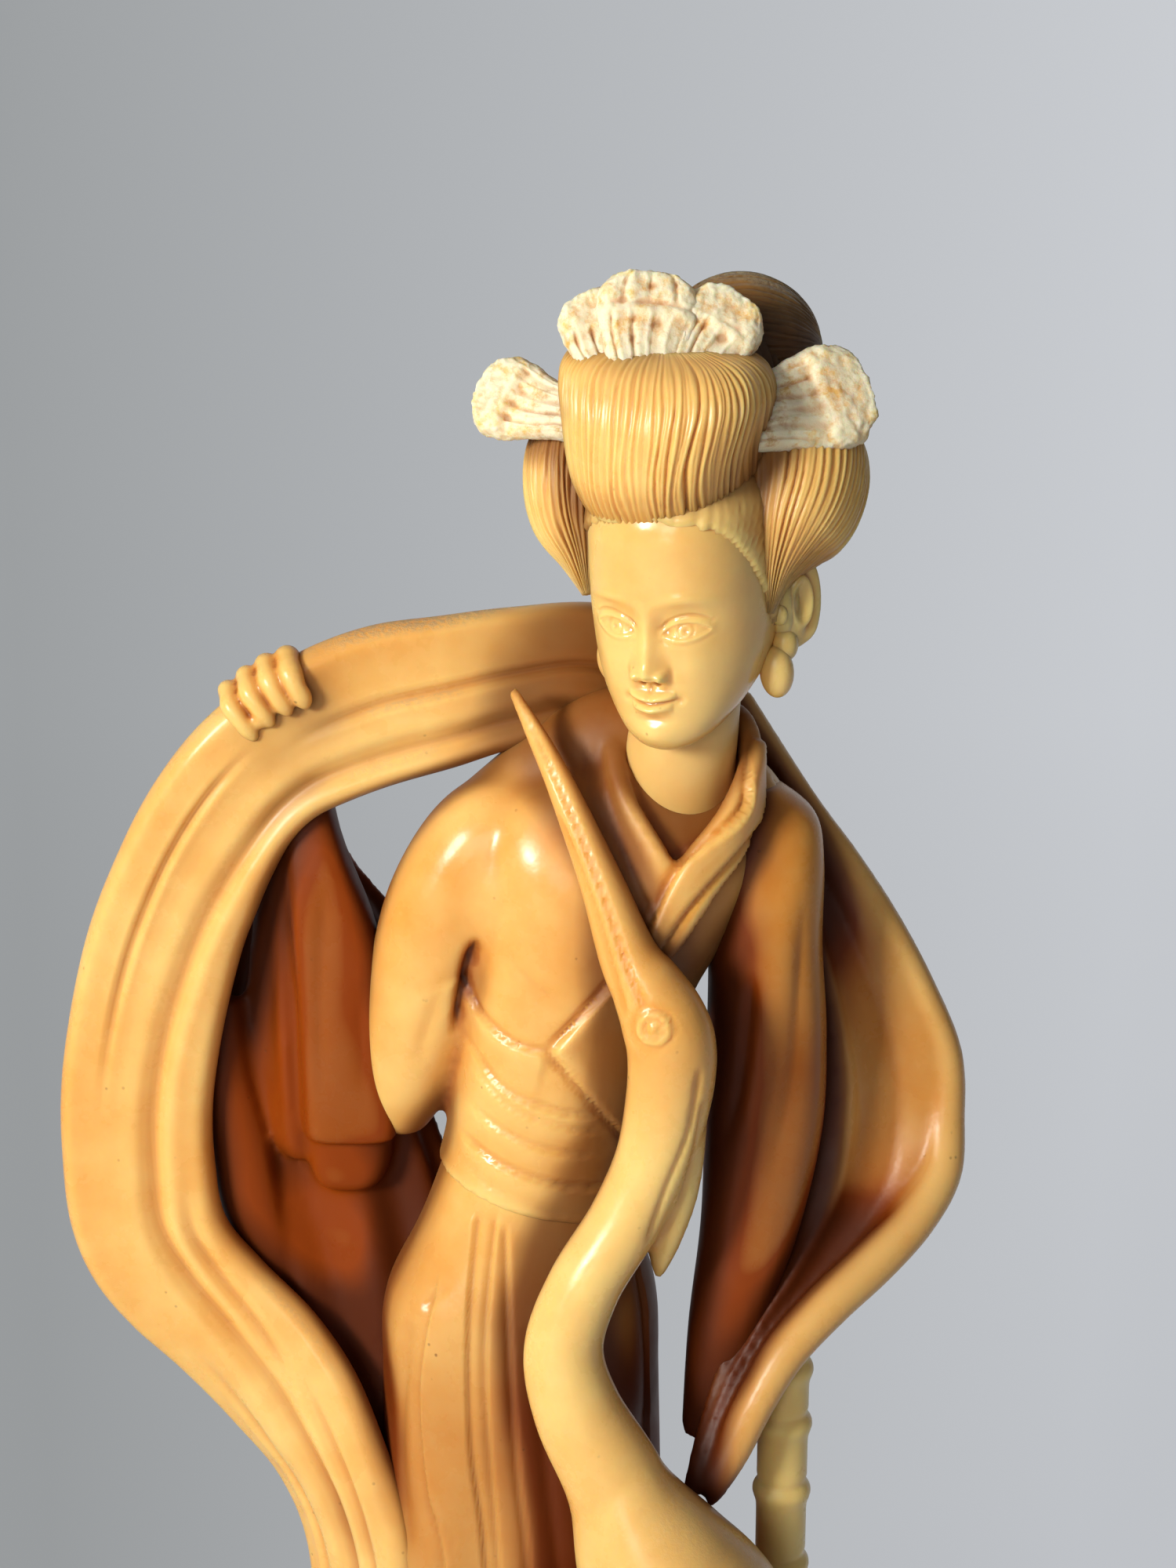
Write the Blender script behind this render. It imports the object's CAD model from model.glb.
import math

import bpy
import numpy as np
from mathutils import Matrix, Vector, noise


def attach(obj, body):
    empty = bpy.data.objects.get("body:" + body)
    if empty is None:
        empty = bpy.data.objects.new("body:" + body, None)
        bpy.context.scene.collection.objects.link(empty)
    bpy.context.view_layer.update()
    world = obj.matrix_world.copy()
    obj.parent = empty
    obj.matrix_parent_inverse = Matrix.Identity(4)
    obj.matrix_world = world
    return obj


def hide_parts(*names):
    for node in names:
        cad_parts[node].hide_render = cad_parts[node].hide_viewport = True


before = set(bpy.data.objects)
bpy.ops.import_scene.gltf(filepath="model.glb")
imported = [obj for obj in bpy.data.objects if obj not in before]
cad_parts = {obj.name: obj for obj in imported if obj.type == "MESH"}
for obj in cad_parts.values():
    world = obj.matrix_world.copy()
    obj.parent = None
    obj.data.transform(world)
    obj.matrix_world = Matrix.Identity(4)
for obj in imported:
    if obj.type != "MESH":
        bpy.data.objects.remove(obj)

print("frame loaded")


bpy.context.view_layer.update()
millimetre = 0.001  # everything below is drawn in millimetres and turned to metres at the end


# smooth rows, skins and solids
def smoothRows(rows, count):
    rows = np.asarray(rows, float)
    last = len(rows) - 1
    place = np.linspace(0, last, count)
    step = np.clip(place.astype(int), 0, last - 1)
    part = (place - step)[:, None]
    before, start = rows[np.clip(step - 1, 0, last)], rows[step]
    end, after = rows[step + 1], rows[np.clip(step + 2, 0, last)]
    cubic = (3 * start - before - 3 * end + after) * part**3
    square = (2 * before - 5 * start + 4 * end - after) * part**2
    return 0.5 * (2 * start + (end - before) * part + square + cubic)


def unitRows(rows):
    return rows / np.maximum(np.linalg.norm(rows, axis=-1, keepdims=True), 1e-9)


def hump(value, centre, width):
    return np.exp(-(((value - centre) / width) ** 2))


def ease(value, low, high):  # a soft step from 0 to 1
    part = np.clip((value - low) / (high - low), 0, 1)
    return part * part * (3 - 2 * part)


def skin(rings):  # closed skin over equal rings, a fan over each end
    count, around = rings.shape[:2]
    points = np.vstack([rings.reshape(-1, 3), rings[:1].mean(axis=1), rings[-1:].mean(axis=1)])
    i, j = np.meshgrid(np.arange(count - 1), np.arange(around), indexing="ij")
    k = (j + 1) % around
    quads = np.stack(
        [i * around + j, i * around + k, (i + 1) * around + k, (i + 1) * around + j], axis=-1,
    ).reshape(-1, 4)
    j = np.arange(around)
    k = (j + 1) % around
    top = (count - 1) * around
    low = np.stack([np.full(around, count * around), k, j], axis=-1)
    high = np.stack([np.full(around, count * around + 1), top + j, top + k], axis=-1)
    return points, quads, np.vstack([low, high])


def rounded(wave, power):  # 2 gives a circle, more a squarer outline
    return np.sign(wave) * np.abs(wave) ** (2 / power)


# x, y, z, half-size to side, half-size across
def bar(rows, side=(1, 0, 0), count=None, around=24, power=2.0, ripple=None):
    rows = smoothRows(rows, count or 8 * len(rows))
    centre = rows[:, :3]
    run = unitRows(np.gradient(centre, axis=0))
    side = np.asarray(side, float)
    across = unitRows(side - run * (run @ side)[:, None])
    other = np.cross(run, across)
    turn = np.linspace(0, 2 * math.pi, around, endpoint=False)
    place = np.linspace(0, 1, len(rows))[:, None]
    swell = ripple(turn[None, :], place) if ripple else np.zeros((len(rows), around))
    wide = (rows[:, 3, None] + swell) * rounded(np.cos(turn), power)
    deep = (rows[:, 4, None] + swell) * rounded(np.sin(turn), power)
    return skin(
        centre[:, None, :] + across[:, None, :] * wide[..., None] + other[:, None, :] * deep[..., None]
    )


# z, centre x, centre y, half-width, half-depth
def stack(rows, yaw=0.0, count=None, around=96, power=2.3, ripple=None):
    rows = smoothRows(rows, count or 10 * len(rows))
    turn = np.linspace(0, 2 * math.pi, around, endpoint=False)
    wide, deep = rounded(np.cos(turn), power), rounded(np.sin(turn), power)
    z = np.repeat(rows[:, :1], around, axis=1)
    swell = ripple(turn[None, :], z) if ripple else np.zeros_like(z)
    u, v = (rows[:, 3, None] + swell) * wide, (rows[:, 4, None] + swell) * deep
    x = rows[:, 1, None] + u * math.cos(yaw) - v * math.sin(yaw)
    y = rows[:, 2, None] + u * math.sin(yaw) + v * math.cos(yaw)
    return skin(np.stack([x, y, z], axis=2))


# outer edge x, y, z and inner edge x, y, z
def sheet(rows, thickness, front, back, count, across, taper=1.0):
    rows = smoothRows(rows, count)
    outer, inner = rows[:, :3], rows[:, 3:6]
    run = unitRows(np.gradient((outer + inner) / 2, axis=0))
    facing = unitRows(np.cross(inner - outer, run))
    if facing[:, 1].sum() > 0:
        facing = -facing
    part = (1 - np.cos(np.linspace(0, math.pi, across))) / 2
    place = np.linspace(0, 1, count)[:, None]
    flat = outer[:, None, :] + (inner - outer)[:, None, :] * part[None, :, None]
    edge = np.clip(1 - np.abs(2 * part - 1) ** 6, 0, 1) ** 0.5
    thick = np.interp(place, (0, taper, 1), (1, 1, 0.55 if taper < 1 else 1)) * thickness / 2
    up = edge * thick + front(part[None, :], place) * edge
    down = edge * thick + back(part[None, :], place) * edge
    near = flat + facing[:, None, :] * up[..., None]
    far = flat - facing[:, None, :] * down[..., None]
    return skin(np.concatenate([near, far[:, -2:0:-1]], axis=1))


# poles on the third axis
def ball(centre, radii, axes=((1, 0, 0), (0, 1, 0), (0, 0, 1)), around=32, rise=None, ripple=None):
    axes = np.asarray(axes, float)
    lift = np.linspace(-math.pi / 2, math.pi / 2, rise or around)[1:-1]
    turn = np.linspace(0, 2 * math.pi, around, endpoint=False)
    swell = ripple(turn[None, :], lift[:, None]) if ripple else np.zeros((len(lift), around))
    first = np.cos(lift)[:, None] * np.cos(turn) * (radii[0] + swell)
    second = np.cos(lift)[:, None] * np.sin(turn) * (radii[1] + swell)
    third = np.sin(lift)[:, None] * (radii[2] + swell)
    return skin(np.asarray(centre, float) + np.stack([first, second, third], axis=2) @ axes)


def volumeOf(points, quads, tris):
    corners = np.vstack([quads[:, :3], quads[:, [0, 2, 3]], tris])
    a, b, c = points[corners[:, 0]], points[corners[:, 1]], points[corners[:, 2]]
    return np.einsum("ij,ij->i", a, np.cross(b, c)).sum() / 6


def makeMesh(name, parts):  # every closed part is turned to face outwards
    mesh = bpy.data.meshes.new(name)
    points, corners, sizes, start = [], [], [], 0
    for part, quads, tris in parts:
        if volumeOf(part, quads, tris) < 0:
            quads, tris = quads[:, ::-1], tris[:, ::-1]
        points.append(part)
        corners += [(quads + start).reshape(-1), (tris + start).reshape(-1)]
        sizes += [np.full(len(quads), 4), np.full(len(tris), 3)]
        start += len(part)
    points, corners, sizes = np.vstack(points), np.concatenate(corners), np.concatenate(sizes)
    mesh.vertices.add(len(points))
    mesh.vertices.foreach_set("co", points.astype(np.float32).reshape(-1))
    mesh.loops.add(len(corners))
    mesh.loops.foreach_set("vertex_index", corners.astype(np.int32))
    mesh.polygons.add(len(sizes))
    mesh.polygons.foreach_set(
        "loop_start", np.concatenate([[0], np.cumsum(sizes)[:-1]]).astype(np.int32),
    )
    mesh.update(calc_edges=True)
    mesh.validate()
    return mesh


def newPiece(name, parts):
    piece = bpy.data.objects.new(name, makeMesh(name, parts))
    bpy.context.scene.collection.objects.link(piece)
    return piece


def settle(piece, steps):  # each step is a modifier and its settings, applied at once
    for kind, values in steps:
        modifier = piece.modifiers.new(kind.lower(), kind)
        for key, value in values.items():
            setattr(modifier, key, value)
    graph = bpy.context.evaluated_depsgraph_get()
    graph.update()
    made = bpy.data.meshes.new_from_object(piece.evaluated_get(graph))
    piece.modifiers.clear()
    old, piece.data = piece.data, made
    bpy.data.meshes.remove(old)


def pointsOf(mesh):
    points = np.empty(len(mesh.vertices) * 3, np.float32)
    mesh.vertices.foreach_get("co", points)
    return points.reshape(-1, 3).astype(float)


def facingOf(mesh):
    facing = np.empty(len(mesh.vertices) * 3, np.float32)
    mesh.vertex_normals.foreach_get("vector", facing)
    return facing.reshape(-1, 3).astype(float)


def setPoints(mesh, points):
    mesh.vertices.foreach_set("co", points.astype(np.float32).reshape(-1))
    mesh.update()


def outerShell(piece):  # drops what a voxel union seals inside
    mesh = piece.data
    count = len(mesh.vertices)
    edges = np.empty(len(mesh.edges) * 2, np.int32)
    mesh.edges.foreach_get("vertices", edges)
    edges = edges.reshape(-1, 2)
    label = np.arange(count)
    while True:
        low = np.minimum(label[edges[:, 0]], label[edges[:, 1]])
        newer = label.copy()
        np.minimum.at(newer, edges[:, 0], low)
        np.minimum.at(newer, edges[:, 1], low)
        newer = newer[newer]
        if (newer == label).all():
            break
        label = newer
    names, sizes = np.unique(label, return_counts=True)
    if len(names) == 1:
        return
    group = piece.vertex_groups.new(name="keep")
    group.add(np.flatnonzero(label == names[sizes.argmax()]).tolist(), 1.0, "REPLACE")
    settle(piece, [("MASK", {"vertex_group": "keep"})])
    piece.vertex_groups.clear()


def cast(name, parts, voxel, smooth=3):  # one seamless skin over overlapping solids
    piece = newPiece(name, parts)
    settle(piece, [
        ("REMESH", {"mode": "VOXEL", "voxel_size": voxel, "adaptivity": 0.0}),
        ("SMOOTH", {"factor": 0.5, "iterations": smooth}),
    ])
    outerShell(piece)
    return piece


def partOf(piece):  # a piece's skin, to be joined again with more parts
    corners = np.empty(len(piece.data.loops), np.int32)
    piece.data.loops.foreach_get("vertex_index", corners)
    part = pointsOf(piece.data), corners.reshape(-1, 4), np.empty((0, 3), int)
    bpy.data.objects.remove(piece)
    return part


def neighbourMean(values, edges, counts):
    total = np.zeros_like(values)
    for column in range(values.shape[1]):
        total[:, column] = np.bincount(edges[:, 0], values[edges[:, 1], column], len(values))
        total[:, column] += np.bincount(edges[:, 1], values[edges[:, 0], column], len(values))
    return total / counts[:, None]


def edgesOf(mesh):  # the edges, and how many meet at each point
    edges = np.empty(len(mesh.edges) * 2, np.int32)
    mesh.edges.foreach_get("vertices", edges)
    edges = edges.reshape(-1, 2)
    return edges, np.maximum(np.bincount(edges.reshape(-1), minlength=len(mesh.vertices)), 1)


def noteHollows(piece, reach):  # a 0 to 1 attribute: 0.5 flat, over it hollow, under it proud
    mesh = piece.data
    edges, counts = edgesOf(mesh)
    points, facing = pointsOf(mesh), facingOf(mesh)
    length = np.linalg.norm(points[edges[:, 0]] - points[edges[:, 1]], axis=1).mean()
    rounds = int(np.clip((reach / length) ** 2, 4, 60))
    soft = points
    for _ in range(rounds):
        soft = 0.3 * soft + 0.7 * neighbourMean(soft, edges, counts)
    rise = np.einsum("ij,ij->i", soft - points, facing)
    for _ in range(2):
        rise = neighbourMean(rise[:, None], edges, counts)[:, 0]
    value = np.clip(0.5 + rise / reach * 1.6, 0, 1)
    attribute = mesh.attributes.new("hollow", "FLOAT", "POINT")
    attribute.data.foreach_set("value", value.astype(np.float32))


def evenDirections(count):
    step = np.arange(count) + 0.5
    height, turn = 1 - 2 * step / count, step * math.pi * (3 - math.sqrt(5))
    around = np.sqrt(1 - height**2)
    return np.stack([around * np.cos(turn), around * np.sin(turn), height], axis=1)


# a 0 to 1 attribute: how much of the space before each point is filled
def noteRecesses(pieces, cell=0.0015, reach=22, rays=44):
    clouds = [pointsOf(piece.data) for piece in pieces]
    low = np.min([cloud.min(axis=0) for cloud in clouds], axis=0) - (reach + 4) * cell
    size = (
        np.ceil((np.max([cloud.max(axis=0) for cloud in clouds], axis=0) - low) / cell).astype(int)
        + reach + 4
    )
    stride = np.array([size[1] * size[2], size[2], 1])
    filled = np.zeros(size.prod(), bool)
    for cloud in clouds:
        filled[((cloud - low) / cell).astype(int) @ stride] = True
    spots = [
        (cloud + facingOf(piece.data) * 1.6 * cell - low) / cell
        for piece, cloud in zip(pieces, clouds)
    ]
    every, facing = np.vstack(spots), np.vstack([facingOf(piece.data) for piece in pieces])
    cells, first = np.unique(every.astype(int) @ stride, return_index=True)
    starts, normals = every[first], facing[first]
    blocked, total = np.zeros(len(cells)), np.zeros(len(cells))
    for direction in evenDirections(rays):
        lean = normals @ direction
        ahead = np.flatnonzero(lean > 0.15)
        hit = np.zeros(len(ahead))
        for step in range(1, reach):
            there = filled[(starts[ahead] + direction * step).astype(int) @ stride]
            hit = np.maximum(hit, there * (1 - step / reach) ** 0.6)
        blocked[ahead] += lean[ahead] * hit
        total[ahead] += lean[ahead]
    layers = []
    for weights in (blocked / total, np.ones(len(cells))):
        layer = np.bincount(cells, weights, size.prod()).reshape(size)
        for axis in (0, 1, 2, 0, 1, 2):
            layer = layer + np.roll(layer, 1, axis) + np.roll(layer, -1, axis)
        layers.append(layer.reshape(-1))
    for piece, spot in zip(pieces, spots):
        corner = np.floor(spot - 0.5).astype(int)
        part = spot - 0.5 - corner
        value, weight = np.zeros(len(spot)), np.zeros(len(spot))
        for step in np.ndindex(2, 2, 2):
            share = np.prod(np.where(step, part, 1 - part), axis=1)
            at = (corner + step) @ stride
            value += share * layers[0][at]
            weight += share * layers[1][at]
        value = np.clip((value / weight - 0.12) / 0.34, 0, 1)
        edges, counts = edgesOf(piece.data)
        for _ in range(4):
            value = neighbourMean(value[:, None], edges, counts)[:, 0]
        attribute = piece.data.attributes.new("recess", "FLOAT", "POINT")
        attribute.data.foreach_set("value", value.astype(np.float32))


def wander(points, size, seed):  # soft noise at each point
    shift = Vector((seed * 7.1, seed * 3.3, seed * 1.7))
    return np.array([noise.noise(Vector(p) / size + shift) for p in points.tolist()])


# camera
cameraView = {
    "target": (0.005, 0.0, 0.196),
    "distance": 0.300,
    "pitch": math.radians(14),
    "sensorHeight": 36.0,
    "lens": 54.0,
}
sight = np.array([0, math.cos(cameraView["pitch"]), -math.sin(cameraView["pitch"])])


def addCamera(view):
    data = bpy.data.cameras.new("camera")
    data.sensor_fit = "VERTICAL"
    data.sensor_height = view["sensorHeight"]
    data.lens = view["lens"]
    data.clip_start = 0.01
    camera = bpy.data.objects.new("camera", data)
    bpy.context.scene.collection.objects.link(camera)
    back = view["distance"] * math.cos(view["pitch"])
    up = view["distance"] * math.sin(view["pitch"])
    camera.location = Vector(view["target"]) + Vector((0, -back, up))
    camera.rotation_euler = (math.pi / 2 - view["pitch"], 0, 0)
    bpy.context.scene.camera = camera


addCamera(cameraView)


# carving
# distance, share of the way and side, all as seen along the line of sight
def lineDistance(points, line):
    flat = points - np.outer(points @ sight, sight)
    line = line - np.outer(line @ sight, sight)
    nearest, share, signed = np.full(len(points), 1e9), np.zeros(len(points)), np.zeros(len(points))
    for i in range(len(line) - 1):
        start, run = line[i], line[i + 1] - line[i]
        offset = flat - start
        place = np.clip(offset @ run / (run @ run), 0, 1)
        distance = np.linalg.norm(offset - place[:, None] * run, axis=1)
        closer = distance < nearest
        nearest[closer] = distance[closer]
        share[closer] = (i + place[closer]) / (len(line) - 1)
        signed[closer] = (np.cross(run, offset[closer]) @ -sight) / np.linalg.norm(run)
    return nearest, share, signed


# a groove along each line, and cloth lying over it on one side
def engrave(piece, lines, reach=9.0, faceLimit=-0.15):
    points, facing = pointsOf(piece.data), facingOf(piece.data)
    seen = (facing @ sight) < faceLimit
    for entry in lines:
        line = smoothRows(entry["at"], 6 * len(entry["at"]))
        middle = line.mean(axis=0)
        over, width, depth = entry.get("over", 0), entry["width"], entry["depth"]
        spread = np.abs(line - middle).max() + 4 * width + 3 * abs(over)
        chosen = np.flatnonzero(seen & (np.abs(points - middle).max(axis=1) < spread + reach))
        if not len(chosen):
            continue
        distance, share, signed = lineDistance(points[chosen], line)
        depthOff = np.abs(
            points[chosen] @ sight - np.interp(share, np.linspace(0, 1, len(line)), line @ sight)
        )
        fade = ease(np.minimum(share, 1 - share), 0, entry.get("fade", 0.12)) * (depthOff < reach)
        push = depth * np.exp(-((distance / width) ** 1.4))
        if over:  # left of the line's run is over 0, right of it under 0
            lifted = (
                ease(signed * np.sign(over), -0.1, 0.45) * np.exp(-distance / entry.get("reach", 3.0))
            )
            push = push * ease(-signed * np.sign(over), -0.5, 0.3) - abs(over) * lifted
        points[chosen] -= facing[chosen] * (push * fade)[:, None]
    setPoints(piece.data, points)


# gown: skirt, bodice, arms and sleeves
gown = {
    "yaw": math.radians(14),
    "hemFlutes": 11,
    "skirtTop": 147.0,
    "sashRise": 140.5,
    "sashSlant": -4.0,
    "sashStands": 0.75,
    "bodiceVoxel": 0.54,
    "shoulderRounds": 38,  # smoothing that melts the shoulders and arm together
    "sleeveVoxel": 0.6,
    "sleeveRounds": 6,
    "sleeveFlutes": 7,
}
gownRows = [  # z, centre x, centre y, half-width, half-depth
    (4, -3.5, 3.5, 31, 25), (20, -4, 3, 27, 22), (50, -4.5, 2.5, 22.6, 18.8), (90, -4.5, 2, 20, 17),
    (112, -4.2, 2, 18.8, 16), (125, -4.1, 2, 18.3, 15), (136, -2.9, 1.6, 14.4, 12.8),
    (147, -0.8, 1.3, 12.6, 12), (158, 1.4, 0.6, 13.2, 11.8), (168, 4, -0.4, 15, 11.8),
    (177, 7.5, -1, 16.8, 12), (185, 10.5, -1, 19.2, 11.8), (191, 12, -0.5, 20.4, 10.2),
    (196, 13, 0, 17.5, 8.2), (200, 15.5, 1, 11, 6.4),
]


def rowsBetween(rows, low, high, count=24):
    fine = smoothRows(rows, 400)
    picks = fine[(fine[:, 0] >= low) & (fine[:, 0] <= high)]
    return picks[np.linspace(0, len(picks) - 1, count).astype(int)]


def skirtFolds(turn, z):
    low = np.clip((120 - z) / 110, 0, 1)
    return low**1.4 * 1.7 * np.cos(gown["hemFlutes"] * turn + 0.7 * np.sin(z / 28))


skirtLines = [
    {
        "at": [
            (-9.4, -12, 142), (-10.5, -13, 127.2), (-10.4, -13.5, 110.6), (-8.7, -14, 93.7),
            (-8, -18, 60), (-8, -22, 14),
        ],
        "width": 0.7, "depth": 0.6, "over": -0.3, "fade": 0.03,
    },
    {
        "at": [
            (-6.8, -12.5, 142.1), (-8.3, -13.5, 121.9), (-6.8, -14.5, 94), (-5, -18, 60), (-4, -22, 14),
        ],
        "width": 0.6, "depth": 0.55, "over": 0.3, "fade": 0.03,
    },
    {
        "at": [
            (-5.6, -12.5, 140.6), (-5, -13.5, 121.9), (-4, -14, 105.2), (-2.9, -14.5, 94),
            (-1, -18, 60), (1, -22, 14),
        ],
        "width": 0.7, "depth": 0.65, "over": 0.35, "fade": 0.03,
    },
    {
        "at": [
            (-14.3, -10, 134), (-17.2, -11, 118.3), (-16.4, -12, 102.9), (-14, -13, 91.9),
            (-13, -15, 60),
        ],
        "width": 1.1, "depth": 0.7, "over": 0.3,
    },
    {
        "at": [(-2, -13, 128), (-0.5, -14, 108), (1.5, -14.5, 88), (5, -18, 50)],
        "width": 1.2, "depth": 0.5,
    },
    {"at": [(-18.5, -8, 126), (-20, -8, 108), (-18.5, -10, 92)], "width": 1.3, "depth": 0.6},
    {"at": [(-16.6, -10, 128), (-13.2, -12, 132)], "width": 0.5, "depth": 0.25},
    {"at": [(-17, -10, 101), (-12.4, -13, 96)], "width": 0.5, "depth": 0.3},
    {"at": [(12, -12, 134), (13.4, -13, 118), (12, -14, 100)], "width": 1.0, "depth": 0.6},
]


def buildSkirt():
    rows = rowsBetween(gownRows, 4, gown["skirtTop"])
    piece = newPiece(
        "kimono_skirt", [stack(rows, gown["yaw"], count=130, around=320, ripple=skirtFolds)],
    )
    engrave(piece, skirtLines)
    return piece


def sashEdge(turn, z):  # stands proud over a slanting lower edge and tucks in below it
    edge = gown["sashRise"] + gown["sashSlant"] * np.cos(turn)
    return (
        gown["sashStands"] * ease(z - edge, -0.25, 0.25) * hump(np.clip(z - 152, 0, 99), 0, 9)
        - 1.6 * ease(edge - z, -0.2, 0.5) - 0.5 * ease(z, 158, 168)
    )


bodiceLines = [  # collars, the front panel and the wrapped sash
    {
        "at": [
            (25.2, -6, 203.5), (24.6, -8.5, 199), (23.6, -10, 194.6), (16.4, -13, 188.7),
            (12, -13.5, 179.9), (6.5, -13, 172), (0.1, -12, 164.2),
        ],
        "width": 0.5, "depth": 0.7, "over": 1.0, "reach": 3.4, "fade": 0.04,
    },
    {
        "at": [
            (30.3, -6, 197), (24.2, -10.5, 190.6), (17.4, -13, 183.3), (13.3, -13.5, 176.8),
            (9, -13, 170),
        ],
        "width": 0.45, "depth": 0.75, "over": -0.35, "reach": 2.0,
    },
    {
        "at": [(4.5, -3, 203.8), (5.2, -8, 197), (9.3, -12, 190), (11.3, -13, 184.3)],
        "width": 0.6, "depth": 0.35, "fade": 0.3,
    },
    {
        "at": [(0.1, -12, 164.2), (4, -12.5, 159.4), (9.5, -12, 152.3), (13, -11.5, 147)],
        "width": 0.45, "depth": 0.6, "over": 0.55, "fade": 0.05,
    },
    {
        "at": [(-11.1, -8, 172.9), (-8.9, -9.5, 168.7), (-4.9, -11, 165.3), (0.1, -12, 163.9)],
        "width": 0.45, "depth": 0.6, "over": -0.6, "fade": 0.05,
    },
    {
        "at": [(-11, -8, 165.3), (-5.9, -11, 159), (1.5, -12.5, 156.2), (7.5, -12, 155.5)],
        "width": 0.45, "depth": 0.5, "over": -0.55, "reach": 2.0, "fade": 0.25,
    },
    {
        "at": [(-10.8, -8, 162.4), (-5, -11, 156.6), (2, -12.5, 154.1), (8, -12, 153)],
        "width": 0.35, "depth": 0.45, "over": -0.3, "reach": 1.6, "fade": 0.25,
    },
    {
        "at": [(-11.6, -8, 157), (-6, -11, 153.3), (0, -12.5, 151), (9, -12, 149.6)],
        "width": 0.45, "depth": 0.35, "over": -0.45, "reach": 2.2, "fade": 0.3,
    },
    {
        "at": [(-12.2, -8, 152.2), (-6, -11, 148.5), (2, -12.5, 146), (9.5, -12, 145.3)],
        "width": 0.45, "depth": 0.55, "over": -0.5, "reach": 2.4, "fade": 0.2,
    },
    {
        "at": [(-12, -8, 148), (-7, -11, 145.3), (0, -12.5, 142.6), (7, -12, 141)],
        "width": 0.5, "depth": 0.3, "fade": 0.3,
    },
    {
        "at": [(-6.5, -11, 178), (-2, -12.4, 173.5), (3, -13, 170)],
        "width": 1.2, "depth": 0.35, "fade": 0.4,
    },
]
armLines = [
    {
        "at": [(-8.9, -7, 178), (-10.2, -7, 174.2), (-11.2, -6, 169), (-12.2, -5, 163.5)],
        "width": 0.6, "depth": 1.6, "fade": 0.3,
    },
    {
        "at": [(-13.4, -8, 172), (-15.4, -7, 166), (-17.4, -5, 159)],
        "width": 1.0, "depth": 0.4, "fade": 0.4,
    },
]
raisedLines = [
    {
        "at": [(-28.6, -2, 184), (-29.6, -2, 174), (-30, -2, 164), (-30, -2, 150)],
        "width": 1.2, "depth": 0.5, "fade": 0.3,
    },
    {
        "at": [(-24.2, -3, 172), (-24.6, -3, 162), (-24.4, -3, 152)],
        "width": 1.2, "depth": 0.35, "fade": 0.4,
    },
]
sleeveLines = [
    {
        "at": [(25.9, -7, 173.5), (25.5, -7, 167.9), (24.2, -6, 155.7), (21.8, -6, 147)],
        "width": 1.0, "depth": 0.9, "fade": 0.35,
    },
    {
        "at": [(32.4, -6, 184), (32.2, -8, 172), (31, -8, 158), (27.6, -7, 142)],
        "width": 1.5, "depth": 0.7, "fade": 0.3,
    },
    {
        "at": [(28.4, -8.5, 166), (27.8, -8.6, 156), (25.6, -8, 143), (23, -7.6, 130)],
        "width": 1.2, "depth": 0.5, "fade": 0.3,
    },
]


def sleeveFolds(turn, z):
    opened = np.clip((186 - z) / 26, 0, 1)
    return opened * (0.8 * np.cos(gown["sleeveFlutes"] * turn + 0.4) + 0.25 * np.cos(13 * turn + z / 9))


def panelFolds(turn, z):  # soft hanging folds on the cloth behind the raised sleeve
    return 0.8 * np.cos(9 * turn + 0.3 * np.sin(z / 12)) * ease(z, 100, 130)


def buildBodice():
    trunk = cast("trunk", [
        stack(rowsBetween(gownRows, 131, 200), gown["yaw"], count=230, around=160, ripple=sashEdge),
        bar(
            [(-7, 2, 190.5, 6.5, 6), (1, 2, 196, 7.5, 6.5), (9, 2.5, 201, 7.5, 7), (14, 2, 204, 5, 5)],
            around=40,
        ),
        bar(
            [
                (1.5, 0, 191, 7.5, 6.5), (-2.5, 0, 191, 7.5, 7), (-8.2, -0.6, 188.5, 7.8, 7.6),
                (-13, -0.2, 179.6, 8.3, 7.9), (-15.7, 1, 168, 8.3, 7.9), (-18.6, 2.8, 157, 6.6, 6.8),
                (-21, 5, 149, 4.6, 5),
            ],
            around=64,
        ),
        ball((-3.6, -1.6, 183), (11.5, 8.0, 11), around=64),
    ], gown["bodiceVoxel"], gown["shoulderRounds"])
    leftCollar = [
        (15, 6.6, 202.6, 2.0, 1.2), (11, 4.8, 203.4, 2.3, 1.3), (8.7, 0.6, 202.6, 2.5, 1.4),
        (8.3, -4.6, 199.4, 2.6, 1.4), (9.6, -8.9, 194.2, 2.8, 1.4), (12.8, -11.4, 188.4, 2.9, 1.4),
        (15.4, -12, 184, 2.4, 1.1),
    ]
    rightCollar = [
        (15, 6.6, 202.6, 2.0, 1.2), (20.6, 5.2, 203.6, 2.5, 1.3), (24.3, 1.2, 203, 2.8, 1.4),
        (25.4, -4.4, 199, 3.1, 1.5), (23, -9, 192.8, 3.2, 1.6), (18.4, -11.4, 186.8, 3.2, 1.6),
        (14, -12, 180, 3.0, 1.4), (9, -11.6, 173, 2.4, 1.1),
    ]
    parts = [
        partOf(trunk),
        stack(rowsBetween(gownRows, 131, 170), gown["yaw"], count=180, around=220, ripple=sashEdge),
    ]
    parts += [
        bar(rows, side=(0, 0, 1), around=40, count=90, power=3.0)
        for rows in (leftCollar, rightCollar)
    ]
    piece = cast("kimono_bodice", parts, gown["bodiceVoxel"], 3)
    engrave(piece, bodiceLines + armLines)
    return piece


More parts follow.
